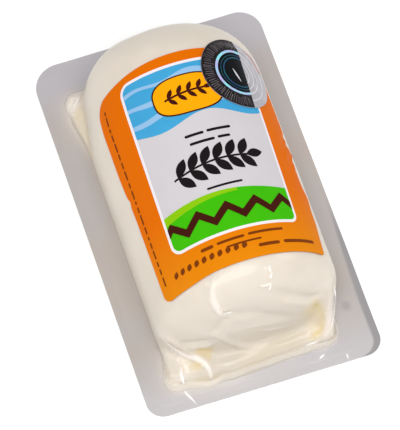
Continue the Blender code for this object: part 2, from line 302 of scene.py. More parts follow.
def stroke(p, points, half_width):
    """1 along a path, falling off as exp(-(distance / half_width)^2) and fading at both ends.

    It is worked out only within three half widths of the path, past which it is next to nothing.
    """
    path = smooth_path(points, PATH_STEPS)
    reach = 3.0 * half_width
    close = np.all((p > path.min(axis=0) - reach) & (p < path.max(axis=0) + reach), axis=-1)
    strength = np.zeros(p.shape[:-1])
    distance, where = along_path(p[close], path)
    fade = smooth_step(0.0, FOLD_FADE, where) * (1.0 - smooth_step(1.0 - FOLD_FADE, 1.0, where))
    strength[close] = np.exp(-((distance / half_width) ** 2)) * fade
    return strength


def facets(p):
    """Shallow facets from -1 to 1: the mean of triangle waves 4 |frac(d) - 1/2| - 1.

    Each wave runs along a seeded line, bent by a slow sine.
    """
    draw = np.random.default_rng(7)
    height = np.zeros(p.shape[:-1])
    for width in FACET_WIDTHS:
        line = draw.normal(size=3)
        line /= np.linalg.norm(line)
        bend = np.sin((p @ draw.normal(size=3)) * FACET_BEND_TURN + draw.uniform(0.0, 6.0))
        turn = p @ line / (2.0 * width) + FACET_BEND * bend + draw.uniform()
        height += 4.0 * np.abs(turn % 1.0 - 0.5) - 1.0
    return height / len(FACET_WIDTHS)


def relief(p):
    """How far the film stands off the plain pocket: folds, creases, and facets over the near end."""
    height = np.zeros(p.shape[:-1])
    for points, half_width, full in FOLDS:
        height += full * stroke(p, points, half_width)
    height *= smooth_step(FOOT_FADE_LOW, FOOT_FADE_HIGH, p[..., 2])
    return height + FACET_DEPTH * facets(p) * smooth_step(-FACET_START, -FACET_FULL, -p[..., 1])


def pocket_grid(distance, cells, floor_z):
    """Points over the pocket, as rows along it and columns across it.

    Rays leave a strip on the pocket's floor. Along its middle they fan out across the log. At its
    ends they also tip over lengthways, by the square-to-disc rule x = a sqrt(1 - b^2 / 2),
    y = b sqrt(1 - a^2 / 2), so that the outermost rays lie flat.
    """
    cells_across, cells_middle, cells_near, cells_far = cells
    across = np.linspace(-1.0, 1.0, cells_across + 1)
    along = np.concatenate(
        [
            np.linspace(-1.0, 0.0, cells_near, endpoint=False),
            np.zeros(cells_middle + 1),
            np.linspace(1.0, 0.0, cells_far, endpoint=False)[::-1],
        ]
    )
    start_y = np.concatenate(
        [
            np.full(cells_near, NEAR_DOME_START),
            np.linspace(NEAR_DOME_START, FAR_DOME_START, cells_middle + 1),
            np.full(cells_far, FAR_DOME_START),
        ]
    )
    b, a = np.meshgrid(along, across, indexing="ij")
    x = a * np.sqrt(1.0 - b * b / 2.0)
    y = b * np.sqrt(1.0 - a * a / 2.0)
    turn = np.arctan2(y, x)
    angle = np.minimum(np.hypot(x, y), 1.0) * math.pi / 2.0
    direction = np.stack(
        [np.sin(angle) * np.cos(turn), np.sin(angle) * np.sin(turn), np.cos(angle)], axis=-1
    )
    start = np.empty(direction.shape)
    start[..., 0] = x * RAY_SPREAD
    start[..., 1] = start_y[:, None]
    start[..., 2] = floor_z
    return ray_end(distance, start, direction)


def wrap_point(arc, y, lift):
    """The place at an arc length across the log from its top line and at y, lifted off the film."""
    angle = arc / LOG_RADIUS
    direction = np.stack([np.sin(angle), np.zeros_like(angle), np.cos(angle)], axis=-1)
    start = np.stack([np.zeros_like(y), y, np.full_like(y, LOG_CENTRE_Z)], axis=-1)
    p = ray_end(log_distance, start, direction)
    return p + slope_of(log_distance, p) * (relief(p) + lift)[..., None]


def grid_faces(rows, columns, first=0):
    """Corner numbers of the quads over a grid of points held row by row."""
    corner = first + np.arange(rows - 1)[:, None] * columns + np.arange(columns - 1)
    corner = corner.ravel()
    return np.stack([corner, corner + 1, corner + columns + 1, corner + columns], axis=-1)


def border(rows, columns):
    """Numbers of a grid's outermost points, once round it, anticlockwise seen from outside."""
    number = np.arange(rows * columns).reshape(rows, columns)
    return np.concatenate([number[0, :-1], number[:-1, -1], number[-1, :0:-1], number[:0:-1, 0]])


def closed_skin(outer, inner):
    """Points and faces of a thin solid: an outer grid, an inner one turned over, and a strip round them."""
    rows, columns = outer.shape[:2]
    size = rows * columns
    edge = border(rows, columns)
    following = np.roll(edge, -1)
    strip = np.stack([edge, edge + size, following + size, following], axis=-1)
    faces = [grid_faces(rows, columns), grid_faces(rows, columns, size)[:, ::-1], strip]
    return np.concatenate([outer.reshape(-1, 3), inner.reshape(-1, 3)]), np.concatenate(faces)


def joined(skins):
    """Several skins as one list of points and one of faces."""
    counts = np.cumsum([0] + [len(points) for points, _ in skins])
    faces = [f + first for (_, f), first in zip(skins, counts)]
    return np.concatenate([points for points, _ in skins]), np.concatenate(faces)


# Faces that meet at less than this shade as one surface.
SMOOTH_DEGREES = 50.0


def add_piece(name, points, faces, material, slot, floor=None):
    """Makes a piece from points in millimetres and quads. floor is one more face with more corners."""
    mesh = bpy.data.meshes.new(name)
    corners = faces.ravel()
    starts = np.arange(len(faces)) * 4
    if floor is not None:
        starts = np.append(starts, len(corners))
        corners = np.append(corners, floor)
    mesh.vertices.add(len(points))
    mesh.vertices.foreach_set("co", (points * MM).astype(np.float32).ravel())
    mesh.loops.add(len(corners))
    mesh.loops.foreach_set("vertex_index", corners.astype(np.int32))
    mesh.polygons.add(len(starts))
    mesh.polygons.foreach_set("loop_start", starts.astype(np.int32))
    mesh.update(calc_edges=True)
    mesh.validate()
    mesh.materials.append(material)
    mesh.shade_smooth()
    mesh.set_sharp_from_angle(angle=math.radians(SMOOTH_DEGREES))
    piece = bpy.data.objects.new(name, mesh)
    bpy.context.scene.collection.objects.link(piece)
    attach(piece, "root")
    return piece


def add_pocket(name, p, material, slot):
    """Makes a piece from a grid over the pocket, closed by one face underneath."""
    rows, columns = p.shape[:2]
    floor = border(rows, columns)[::-1]
    return add_piece(name, p.reshape(-1, 3), grid_faces(rows, columns), material, slot, floor)


def add_attribute(piece, name, values):
    """Puts one number a point on a piece, for its material to read."""
    attribute = piece.data.attributes.new(name, "FLOAT", "POINT")
    attribute.data.foreach_set("value", values.astype(np.float32).ravel())


def linear(hex_colour):
    """An sRGB hex colour as the linear red, green, blue and alpha that a socket takes."""
    channels = [int(hex_colour[i : i + 2], 16) / 255.0 for i in (1, 3, 5)]
    return (*[c / 12.92 if c <= 0.04045 else ((c + 0.055) / 1.055) ** 2.4 for c in channels], 1.0)


def add_node(tree, kind, settings=None, values=None, links=None):
    """Adds a node with its settings, the values on its sockets and the links into them."""
    made = tree.nodes.new(kind)
    for key, value in (settings or {}).items():
        setattr(made, key, value)
    for key, value in (values or {}).items():
        made.inputs[key].default_value = value
    for key, source in (links or {}).items():
        tree.links.new(source, made.inputs[key])
    return made


def new_material(name, sockets):
    """A material with its Principled shader's sockets set. Returns it, its tree and the shader."""
    material = bpy.data.materials.new(name)
    material.use_nodes = True
    tree = material.node_tree
    shader = tree.nodes["Principled BSDF"]
    for key, value in sockets.items():
        shader.inputs[key].default_value = value
    return material, tree, shader


# The sockets of a two-colour mix: both colours and the result.
MIX_A, MIX_B, MIX_RESULT = 6, 7, 2


def clouded(tree, place, size_mm, detail, spread, first_hex, second_hex):
    """A colour that drifts between two in soft clouds of that size. spread is the noise's share in use."""
    noise = add_node(
        tree,
        "ShaderNodeTexNoise",
        values={"Scale": 1.0 / (size_mm * MM), "Detail": detail},
        links={"Vector": place},
    )
    share = add_node(
        tree,
        "ShaderNodeMapRange",
        values={"From Min": spread[0], "From Max": spread[1]},
        links={"Value": noise.outputs["Fac"]},
    )
    colour = add_node(
        tree,
        "ShaderNodeMix",
        {"data_type": "RGBA"},
        {MIX_A: linear(first_hex), MIX_B: linear(second_hex)},
        {0: share.outputs["Result"]},
    )
    return colour.outputs[MIX_RESULT]


def stained(tree, under, attribute, hex_colour):
    """A colour laid over the one under it, as strongly as the piece's attribute says at each point."""
    share = add_node(tree, "ShaderNodeAttribute", {"attribute_name": attribute})
    colour = add_node(
        tree,
        "ShaderNodeMix",
        {"data_type": "RGBA"},
        {MIX_B: linear(hex_colour)},
        {0: share.outputs["Fac"], MIX_A: under},
    )
    return colour.outputs[MIX_RESULT]


def ramped(tree, place, under, first_y, last_y, hex_colour):
    """A colour laid over the one under it along the pack: none of it at first_y, all of it at last_y."""
    parts = add_node(tree, "ShaderNodeSeparateXYZ", links={0: place})
    share = add_node(
        tree,
        "ShaderNodeMapRange",
        values={"From Min": first_y * MM, "From Max": last_y * MM},
        links={"Value": parts.outputs["Y"]},
    )
    colour = add_node(
        tree,
        "ShaderNodeMix",
        {"data_type": "RGBA"},
        {MIX_B: linear(hex_colour)},
        {0: share.outputs["Result"], MIX_A: under},
    )
    return colour.outputs[MIX_RESULT]


def roughen(tree, place, size_mm, detail, strength, depth_mm, distortion=0.0):
    """Gives a finish its fine relief: bumps of noise, that far apart and that deep."""
    noise = add_node(
        tree,
        "ShaderNodeTexNoise",
        values={"Scale": 1.0 / (size_mm * MM), "Detail": detail, "Distortion": distortion},
        links={"Vector": place},
    )
    bump = add_node(
        tree,
        "ShaderNodeBump",
        values={"Strength": strength, "Distance": depth_mm * MM},
        links={"Height": noise.outputs["Fac"]},
    )
    tree.links.new(bump.outputs["Normal"], tree.nodes["Principled BSDF"].inputs["Normal"])


def soft_cheese():
    """Fresh goat cheese pressed against film: dense and milky, with light sunk a little way into it.

    The curd is even, so its cream colour shifts only in wide soft clouds. The film touches it all
    over, which gives it the film's own gloss. Along the foot of its near end it turns darker and
    greyer, and where whey stands under the film it turns straw yellow.
    """
    material, tree, shader = new_material(
        "fresh_goat_curd",
        {
            "Roughness": 0.5,
            "Subsurface Weight": 0.35,
            "Subsurface Radius": (1.0, 0.72, 0.5),
            "Subsurface Scale": 1.6 * MM,
            "Coat Weight": 0.14,
            "Coat Roughness": 0.35,
            "Coat IOR": 1.5,
        },
    )
    place = add_node(tree, "ShaderNodeTexCoord").outputs["Object"]
    colour = clouded(tree, place, 14.0, 3.0, (0.35, 0.65), "#D2C8BA", "#CBC0B1")
    colour = stained(tree, colour, "darker_band", "#B7AD9E")
    colour = stained(tree, colour, "whey", "#CEB566")
    tree.links.new(colour, shader.inputs["Base Color"])
    # The curd's grain.
    roughen(tree, place, 0.8, 2.0, 0.25, 0.05)
    return material


def clear_film(name, hex_colour, alpha, roughness, wrinkles, fading=False, gloss=0.6):
    """Polyamide and polyethylene film: clear, glossy, and greyer or milkier the more of it lies together.

    Fine wrinkles break up its shine: how far apart they are and how deep. Where it lies in folds
    and slack patches, the attribute "body" thins it out towards their edges.
    """
    material, tree, shader = new_material(
        name,
        {
            "Base Color": linear(hex_colour),
            "Roughness": roughness,
            "IOR": 1.52,
            "Alpha": alpha,
            "Coat Weight": gloss,
            "Coat Roughness": 0.06,
        },
    )
    place = add_node(tree, "ShaderNodeTexCoord").outputs["Object"]
    apart, depth = wrinkles
    roughen(tree, place, apart, 2.0, 0.6, depth, distortion=0.6)
    if fading:
        body = add_node(tree, "ShaderNodeAttribute", {"attribute_name": "body"}).outputs["Fac"]
        cover = add_node(tree, "ShaderNodeMath", {"operation": "MULTIPLY"}, {1: alpha}, {0: body})
        tree.links.new(cover.outputs["Value"], shader.inputs["Alpha"])
    return material


def welded_film():
    """Two films welded into one stiff sheet: translucent grey, the grey partly painted shade of the floor
    under it, with the weld's slow waves in its gloss.
    """
    material = clear_film("welded_clear_film", "#BEB8B8", 0.86, 0.24, (9.0, 0.25))
    tree = material.node_tree
    place = add_node(tree, "ShaderNodeTexCoord").outputs["Object"]
    # Warmer where the film thins, cooler where it is thick.
    colour = clouded(tree, place, 30.0, 1.0, (0.4, 0.6), "#BBB1AA", "#B8B2B0")
    # Paler and cooler towards the near end. The far end is cooler.
    colour = ramped(tree, place, colour, -34.0, -48.0, "#C5C1C2")
    colour = ramped(tree, place, colour, 30.0, 46.0, "#B9B5BA")
    # Beside the foot of the log the sheet is painted paler: painted light that fills the shadow the log
    # casts on it.
    colour = stained(tree, colour, "painted_foot_light", "#E4D9D0")
    # Along the right edge the sheet is darkened by a strip of painted shade, with one darker blot beside
    # it.
    colour = stained(tree, colour, "edge_shade_and_blot", "#9B989A")
    tree.links.new(colour, tree.nodes["Principled BSDF"].inputs["Base Color"])
    return material


def foot_film():
    """Film round the foot of the pack, smeared inside with curd: milky in its middle, clear at its edges.

    The attribute "rise" is 0 where it lands on the sheet and 1 where it leaves the pocket.
    """
    material = clear_film("milky_clear_film", "#DDD3C6", 0.75, 0.4, (2.2, 0.05), True, 0.3)
    tree = material.node_tree
    rise = add_node(tree, "ShaderNodeAttribute", {"attribute_name": "rise"})
    pale_tint = add_node(
        tree,
        "ShaderNodeMix",
        {"data_type": "RGBA"},
        {MIX_A: linear("#E0D9D0"), MIX_B: linear("#EAE2D3")},
        {0: rise.outputs["Fac"]},
    )
    tree.links.new(pale_tint.outputs[MIX_RESULT], tree.nodes["Principled BSDF"].inputs["Base Color"])
    return material


def printed_paper(name, hex_colour, darker_hex):
    """Coated label paper under offset ink and clear varnish: even colour, satin gloss, a trace of tooth.

    The ink is laid a little unevenly, in clouds between the two colours.
    """
    material, tree, shader = new_material(
        name,
        {"Roughness": 0.5, "Specular IOR Level": 0.02, "Coat Weight": 0.025, "Coat Roughness": 0.25},
    )
    place = add_node(tree, "ShaderNodeTexCoord").outputs["Object"]
    colour = clouded(tree, place, 5.0, 3.0, (0.0, 1.0), hex_colour, darker_hex)
    tree.links.new(colour, shader.inputs["Base Color"])
    # Paper tooth is far finer than a pixel: it is drawn 0.5 mm across so that it shows at all.
    roughen(tree, place, 0.5, 1.0, 0.15, 0.02)
    return material


def orange_paper():
    """The label's own paper: one orange ink, yellower and lighter at the near end, deeper further on."""
    material = printed_paper("orange_coated_paper", "#DA8208", "#D57A08")
    tree = material.node_tree
    base = tree.nodes["Principled BSDF"].inputs["Base Color"]
    place = add_node(tree, "ShaderNodeTexCoord").outputs["Object"]
    ink = base.links[0].from_socket
    tree.links.new(ramped(tree, place, ink, -31.0, -12.0, "#D56600"), base)
    return material


def seal_film(name, hex_colour, other_hex, metallic, roughness):
    """Metallised polyester with a fine embossed grating: half mirror, its tint drifting in small clouds."""
    material, tree, shader = new_material(
        name, {"Roughness": roughness, "Metallic": metallic, "Specular IOR Level": 0.1}
    )
    place = add_node(tree, "ShaderNodeTexCoord").outputs["Object"]
    colour = clouded(tree, place, 2.2, 2.0, (0.35, 0.65), hex_colour, other_hex)
    tree.links.new(colour, shader.inputs["Base Color"])
    return material


def foot_lip(p):
    """Turns the foot of the near end out over the sheet.

    At the share h of LIP_HEIGHT it goes out by LIP_WIDTH (1 - h)^LIP_POWER.
    """
    level = np.clip((p[..., 2] - SHEET_TOP) / LIP_HEIGHT, 0.0, 1.0)
    width = LIP_WIDTH * smooth_step(-LIP_START, -LIP_FULL, -p[..., 1])
    out = slope_of(pocket_distance, p)
    out[..., 2] = 0.0
    return p + out * (width * (1.0 - level) ** LIP_POWER)[..., None]


def formed_film():
    """The film round the cheese: the pocket's grid, moved out by the relief and turned out at its foot."""
    p = pocket_grid(pocket_distance, FILM_CELLS, FILM_FLOOR)
    p = foot_lip(p + slope_of(pocket_distance, p) * relief(p)[..., None])
    film = clear_film("tight_clear_film", "#F4F2EF", 0.13, 0.1, (3.0, 0.06))
    piece = add_pocket("formed_film", p, film, "clear_film")
    # Clear film casts next to no shadow on what it covers.
    piece.visible_shadow = False
    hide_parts("sealed_log")


# Where whey stands under the film: the points of each pool, its half width and its strength.
WHEY = (
    (((15.4, -40.6, 18.4), (16.8, -41.6, 12.2), (16.9, -43.0, 8.4), (16.0, -44.7, 6.3),
      (12.4, -46.4, 4.2)), 1.2, 1.0),
    (((14.6, -40.8, 17.0), (15.6, -41.7, 11.6), (15.6, -43.3, 8.0), (14.4, -45.2, 5.6)), 2.4, 0.55),
    (((15.4, -43.6, 7.2), (8.0, -44.6, 5.6), (0.0, -45.4, 4.8), (-10.0, -45.6, 4.8)), 3.2, 0.16),
    (((-16.4, -41.2, 9.8), (-13.7, -42.1, 8.1), (-11.6, -43.6, 6.8)), 1.3, 0.85),
    (((-21.0, -41.4, 6.0), (-17.8, -43.4, 6.6), (-15.4, -45.4, 6.2)), 1.4, 0.6),
    (((-21.0, -46.0, 2.6), (-14.0, -47.3, 2.8), (-4.0, -47.3, 2.8), (6.0, -47.0, 3.0)), 1.6, 0.2),
    (((-24.0, 36.0, 6.0), (-23.0, 33.0, 5.0), (-22.4, 24.0, 4.4), (-22.0, 8.0, 4.2)), 2.6, 0.35),
)
# Where the cheese is darker and greyer, along the near foot: the points of each strip, its half width and
# its strength.
DARKER_BANDS = (
    (((16.0, -44.4, 6.4), (8.0, -45.2, 5.4), (0.0, -45.6, 5.0), (-8.0, -45.6, 5.0),
      (-20.0, -45.0, 5.0)), 3.6, 0.75),
    (((-22.0, -44.0, 5.0), (-12.0, -44.4, 6.2), (-2.0, -44.8, 5.6), (14.0, -44.6, 5.8)), 3.0, 0.5),
)


def strongest(p, strokes):
    """At each point the strongest of several strokes, each given by its path, half width and strength."""
    strength = np.zeros(p.shape[:-1])
    for points, half_width, full in strokes:
        strength = np.maximum(strength, full * stroke(p, points, half_width))
    return strength


def cheese_log():
    """The log of cheese: the pocket's grid with smaller webs, set in under the film by CHEESE_INSET."""

    def core(p):
        return pocket_distance(p, CHEESE_WEB_SHARE)

    p = pocket_grid(core, CHEESE_CELLS, CHEESE_FLOOR)
    inward = relief(p) * CHEESE_FOLD_SHARE - CHEESE_INSET
    surface = foot_lip(p + slope_of(core, p) * inward[..., None])
    piece = add_pocket("cheese_log", surface, soft_cheese(), "cheese")
    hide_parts("sealed_log")
    add_attribute(piece, "whey", strongest(p, WHEY))
    add_attribute(piece, "darker_band", strongest(p, DARKER_BANDS))


# The sheet's slow waves, and how far from the pocket they begin and are full.
RIM_WAVE = 0.10
RIM_FLAT = (4.5, 8.0)
# The pressed border of the weld: how wide and deep it is, and half the width of its soft edge.
WELD_INSET = 2.4
WELD_STEP = 0.05
WELD_SOFT = 0.3
# The painted shade along the right edge: its width at the near corner, where it widens towards it,
# half the width of its soft edge, and the widths at which it begins to show and is full.
STRIP_WIDTH = 1.9
STRIP_PART = (-10.0, 40.0)
STRIP_SOFT = 0.4
STRIP_FADE = (0.3, 1.2)
# The dark blot beside the strip: its middle, its half width each way and its strength.
BLOT = (26.0, -37.7)
BLOT_HALF = (1.2, 1.4)
BLOT_STRENGTH = 0.55
# How strong the painted light beside the foot is, how fast it fades, and where it begins on the left.
FOOT_LIGHT_STRENGTH = 0.85
FOOT_LIGHT_WIDTH = 1.5
FOOT_LIGHT_PART = (0.0, 10.0)
RIM_ROWS = 220
RIM_COLUMNS = 130


def corner_inset(distance, radius):
    """How far a quarter circle of that radius draws an edge in, at a distance before the edge's end."""
    short = np.clip(radius - distance, 0.0, radius)
    return radius - np.sqrt(radius**2 - short**2)


def crowded(count):
    """Shares from 0 to 1, (1 - cos(pi t)) / 2, which crowd towards both ends, where corners turn."""
    return (1.0 - np.cos(np.linspace(0.0, math.pi, count + 1))) / 2.0


def rim_height(x, y):
    """The sheet's upper face: slow waves outside the pocket, and the weld's pressed border.

    The waves are sines about 20 and 27 mm long, each bent by a slower one. The border follows the
    distance from a rounded rectangle.
    """
    radius = (NEAR_LEFT + NEAR_RIGHT + FAR_LEFT + FAR_RIGHT) / 4.0
    qx = np.abs(x) - PACK_WIDTH / 2.0 + radius
    qy = np.abs(y) - PACK_LENGTH / 2.0 + radius
    outside = np.hypot(np.maximum(qx, 0.0), np.maximum(qy, 0.0))
    from_edge = radius - outside - np.minimum(np.maximum(qx, qy), 0.0)
    pressed = WELD_STEP * (1.0 - smooth_step(WELD_INSET - WELD_SOFT, WELD_INSET + WELD_SOFT, from_edge))
    clear = smooth_step(*RIM_FLAT, outline_distance(x, y, SHELF_CORNERS))
    wave = np.sin(x * 0.31 + 1.7 * np.sin(y * 0.11))
    wave += np.sin(y * 0.23 + 1.3 * np.sin(x * 0.17 + 2.0))
    return SHEET_TOP - pressed + RIM_WAVE * wave * clear


def welded_rim():
    """The flat sheet: rows across it between its two long edges, which draw in at the rounded corners."""
    y = (crowded(RIM_ROWS) - 0.5) * PACK_LENGTH
    to_near = y + PACK_LENGTH / 2.0
    to_far = PACK_LENGTH / 2.0 - y
    left = -PACK_WIDTH / 2.0 + corner_inset(to_near, NEAR_LEFT) + corner_inset(to_far, FAR_LEFT)
    right = PACK_WIDTH / 2.0 - corner_inset(to_near, NEAR_RIGHT) - corner_inset(to_far, FAR_RIGHT)
    share = crowded(RIM_COLUMNS)
    x = left[:, None] + (right - left)[:, None] * share
    y = np.broadcast_to(y[:, None], x.shape)
    top = np.stack([x, y, rim_height(x, y)], axis=-1)
    under = np.stack([x, y, np.zeros_like(x)], axis=-1)
    piece = add_piece("welded_rim", *closed_skin(top, under), welded_film(), "clear_film")
    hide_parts("rim_sheet")
    # The painted shade lies along the right edge and widens towards the near corner, beside one blot.
    width = STRIP_WIDTH * smooth_step(*STRIP_PART, -y)
    strip = 1.0 - smooth_step(width - STRIP_SOFT, width + STRIP_SOFT, right[:, None] - x)
    away = ((x - BLOT[0]) / BLOT_HALF[0]) ** 2 + ((y - BLOT[1]) / BLOT_HALF[1]) ** 2
    dark = np.maximum(strip * smooth_step(*STRIP_FADE, width), BLOT_STRENGTH * np.exp(-(away**2)))
    add_attribute(piece, "edge_shade_and_blot", np.tile(dark.ravel(), 2))
    # The painted light is strongest against the log's left side, and fades outwards.
    from_foot = np.maximum(outline_distance(x, y, SHELF_CORNERS) - SHELF_ROUNDING, 0.0)
    pale_tint = FOOT_LIGHT_STRENGTH * np.exp(-from_foot / FOOT_LIGHT_WIDTH) * smooth_step(*FOOT_LIGHT_PART, -x)
    add_attribute(piece, "painted_foot_light", np.tile(pale_tint.ravel(), 2))


# Loose film that spans between two folds: the points of either side.
LOOSE_FILM = (
    (
        ((21.4, -38.4, 17.4), (20.6, -41.2, 12.2), (19.8, -43.8, 8.0), (19.0, -46.2, 4.0)),
        ((18.8, -40.4, 15.8), (18.0, -43.0, 9.0), (16.8, -45.2, 5.6), (14.6, -46.6, 3.0)),
    ),
    (
        ((-23.6, -36.0, 13.6), (-21.8, -38.4, 12.2), (-19.0, -40.4, 10.4), (-16.2, -42.2, 8.4)),
        ((-23.4, -39.4, 9.4), (-22.6, -42.0, 8.0), (-21.6, -44.4, 6.4), (-20.6, -46.6, 3.4)),
    ),
    (
        ((-20.4, 38.8, 8.4), (-22.4, 38.8, 7.4), (-24.4, 38.4, 5.4), (-25.2, 37.6, 3.0)),
        ((-20.8, 35.6, 10.0), (-22.6, 35.2, 8.0), (-24.0, 34.4, 5.4), (-24.8, 33.4, 2.6)),
    ),
)
# Folded film, drawn as whitish beads that are partly the fold's milkiness and partly painted highlight: the
# points that each fold runs through, and its width.
FOLD_LINES = (
    (((-8.6, -33.2, 33.3), (-9.7, -35.5, 32.0), (-10.3, -37.1, 30.6), (-10.0, -38.7, 28.6),
      (-9.3, -40.0, 26.3), (-7.6, -40.7, 25.2), (-5.6, -40.9, 24.6)), 2.3),
    (((-22.4, -37.4, 13.0), (-21.6, -38.5, 11.8), (-18.9, -40.8, 8.9), (-16.1, -42.8, 7.7),
      (-14.5, -45.0, 6.9), (-14.0, -46.9, 5.2), (-14.2, -48.0, 2.2)), 2.1),
    (((21.8, -38.8, 17.0), (20.7, -41.0, 12.0), (19.7, -43.1, 8.3), (19.1, -45.2, 6.1),
      (19.2, -46.6, 2.6)), 1.2),
    (((8.6, -47.2, 3.0), (13.2, -46.9, 2.8), (16.6, -46.4, 3.4), (18.8, -45.8, 4.2)), 1.1),
    (((-22.1, 37.4, 9.0), (-23.5, 35.8, 7.3), (-25.0, 34.8, 3.6)), 0.9),
    (((-20.2, -41.6, 6.4), (-21.2, -45.0, 5.3), (-21.3, -46.9, 2.2)), 1.0),
)
# Sharp creases, whitened by the strain, on the pocket and in the flat sheet, and small white beads that are
# painted glints where the film catches the light.
CREASES_AND_GLINTS = (
    (((5.2, -34.9, 33.9), (4.9, -35.8, 33.4), (5.1, -36.6, 32.9)), 0.45),
    (((5.3, -36.5, 32.9), (4.8, -37.3, 32.4), (4.2, -37.8, 32.0)), 0.5),
    (((1.2, -38.3, 31.5), (2.4, -38.7, 31.3), (3.6, -38.5, 31.2), (4.9, -38.4, 31.0)), 0.4),
    (((4.3, -38.4, 31.1), (4.1, -39.2, 30.2), (3.6, -39.8, 29.0)), 0.5),
    (((-8.8, -40.3, 25.8), (-7.2, -40.7, 25.3), (-5.8, -40.9, 25.0)), 0.5),
    (((21.9, -38.2, 17.8), (21.5, -39.3, 16.0), (21.2, -40.3, 13.8)), 0.6),
    (((-21.0, -43.8, 5.8), (-21.0, -45.8, 4.2), (-21.1, -47.1, 1.6)), 0.7),
    (((10.8, -46.6, 4.0), (13.6, -46.5, 4.0), (15.8, -46.2, 4.2)), 0.6),
)
RIM_CREASE_AND_GLINTS = (
    (((-21.2, -46.6, 0.5), (-20.9, -48.2, 0.5), (-20.0, -50.1, 0.5), (-19.1, -52.4, 0.5)), 0.8),
    (((21.7, -50.2, 0.5), (21.6, -51.2, 0.5), (21.6, -52.3, 0.5)), 0.5),
    (((14.4, -49.7, 0.5), (15.4, -49.3, 0.5), (16.4, -48.8, 0.5)), 0.8),
)
# Steps along a fold or a loose patch, cells across a fold, and its height to half its width.
LINE_STEPS = 40
LINE_CELLS = 8
LINE_HEIGHT = 0.4
# How far a fold's edges stand over the film, and how far its underside lies in it.
LINE_LIFT = 0.02
LINE_SINK = 0.03
# Loose film: how far it stands over the film at its edges, how far it swells, and how thick it is.
LOOSE_LIFT = 0.06
LOOSE_SWELL = 0.25
LOOSE_THICK = 0.04
# Steps that bring a point near the pocket onto it.
ONTO_STEPS = 4


def onto_film(p):
    """Points moved along their normals onto the film's surface, folds and all."""
    for _ in range(ONTO_STEPS):
        p = p - slope_of(pocket_distance, p) * pocket_distance(p)[..., None]
    return p + slope_of(pocket_distance, p) * relief(p)[..., None]


def fold_line(path, normal, width):
    """A tapered bead of film along a path, closed underneath, and its body at each point.

    Its section is the arch height (1 - t^2) over t from -1 to 1, and its width swells and shrinks
    along the path as sin(pi u)^0.7, cut off just before it would close. Its body is
    (1 - t^2)^1.5 sin(pi u).
    """
    ahead = np.gradient(path, axis=0)
    side = np.cross(ahead, normal)
    side /= np.linalg.norm(side, axis=-1, keepdims=True)
    swell = np.sin(np.linspace(0.03, 0.97, len(path)) * math.pi) ** 0.7
    t = np.linspace(-1.0, 1.0, LINE_CELLS + 1)
    half = (width / 2.0 * swell)[:, None, None]
    across = path[:, None] + side[:, None] * half * t[None, :, None]
    arch = LINE_HEIGHT * half * (1.0 - t * t)[None, :, None] + LINE_LIFT
    skin = closed_skin(across + normal[:, None] * arch, across - normal[:, None] * LINE_SINK)
    length = np.sin(np.linspace(0.0, 1.0, len(path)) * math.pi)
    body = length[:, None] * (1.0 - t * t)[None, :] ** 1.5
    return skin, np.tile(body.ravel(), 2)


def add_slack(name, skins, film):
    """Makes one piece of several skins of slack film, each with its body. It casts no shadow."""
    piece = add_piece(name, *joined([skin for skin, _ in skins]), film, "clear_film")
    piece.visible_shadow = False
    add_attribute(piece, "body", np.concatenate([body for _, body in skins]))
    return piece


def pocket_lines(lines):
    """Beads of film along paths on the pocket."""
    beads = []
    for points, width in lines:
        path = onto_film(smooth_path(points, LINE_STEPS))
        beads.append(fold_line(path, slope_of(pocket_distance, path), width))
    return beads


def film_folds():
    """Folded film: soft whitish beads along the folds, partly painted highlight, and thinner bright ones
    along the creases and as painted glints.
    """
    creases = pocket_lines(CREASES_AND_GLINTS)
    for points, width in RIM_CREASE_AND_GLINTS:
        path = smooth_path(points, LINE_STEPS)
        path[:, 2] = rim_height(path[:, 0], path[:, 1])
        creases.append(fold_line(path, np.broadcast_to([0.0, 0.0, 1.0], path.shape), width))
    film = clear_film("folded_film_and_painted_highlight", "#EBE3DC", 0.56, 0.5, (2.5, 0.03), True, 0.1)
    add_slack("film_folds", pocket_lines(FOLD_LINES), film)
    film = clear_film("creased_film_and_painted_glints", "#FCFAF6", 1.0, 0.2, (1.5, 0.04), True)
    add_slack("film_creases_and_glints", creases, film)


def loose_film():
    """Slack film between folds: straight lines from one path to the other, laid on the film.

    It swells out between its edges as sin(pi u) sin(pi v), and its body is that to the power 0.6.
    """
    share = np.linspace(0.0, 1.0, LINE_STEPS)
    swell = np.sin(share * math.pi)[None, :] * np.sin(share * math.pi)[:, None]
    lift = (LOOSE_LIFT + LOOSE_SWELL * swell)[..., None]
    skins = []
    for first, second in LOOSE_FILM:
        a = smooth_path(first, LINE_STEPS)
        b = smooth_path(second, LINE_STEPS)
        sheet = onto_film(a[:, None] + (b - a)[:, None] * share[None, :, None])
        normal = slope_of(pocket_distance, sheet)
        skin = closed_skin(sheet + normal * lift, sheet + normal * (lift - LOOSE_THICK))
        skins.append((skin, np.tile(swell.ravel() ** 0.6, 2)))
    film = clear_film("slack_clear_film", "#E6DED6", 0.4, 0.35, (1.6, 0.08), True, 0.35)
    add_slack("loose_film", skins, film)


# The skirt of slack film at the foot of the near end: how high it leaves the pocket, how far out it
# lands, and how much that changes along it, in waves of a frequency, a start and a share.
SKIRT_HEIGHT = 4.2
SKIRT_REACH = 0.7
SKIRT_CHANGE = 0.2
SKIRT_WAVES = ((9.0, 0.6, 0.6), (37.0, 1.0, 0.4))
# How much further it lands at the ear on the left, and where the ear begins and is full.
SKIRT_EAR = 0.3
EAR_LEFT = (11.0, 17.0)
EAR_NEAR = (40.0, 45.0)
# How it sweeps out, how far it stands off the pocket's side, and how thick it is.
SKIRT_SWEEP = 1.6
SKIRT_OFF = 0.1
SKIRT_THICK = 0.05
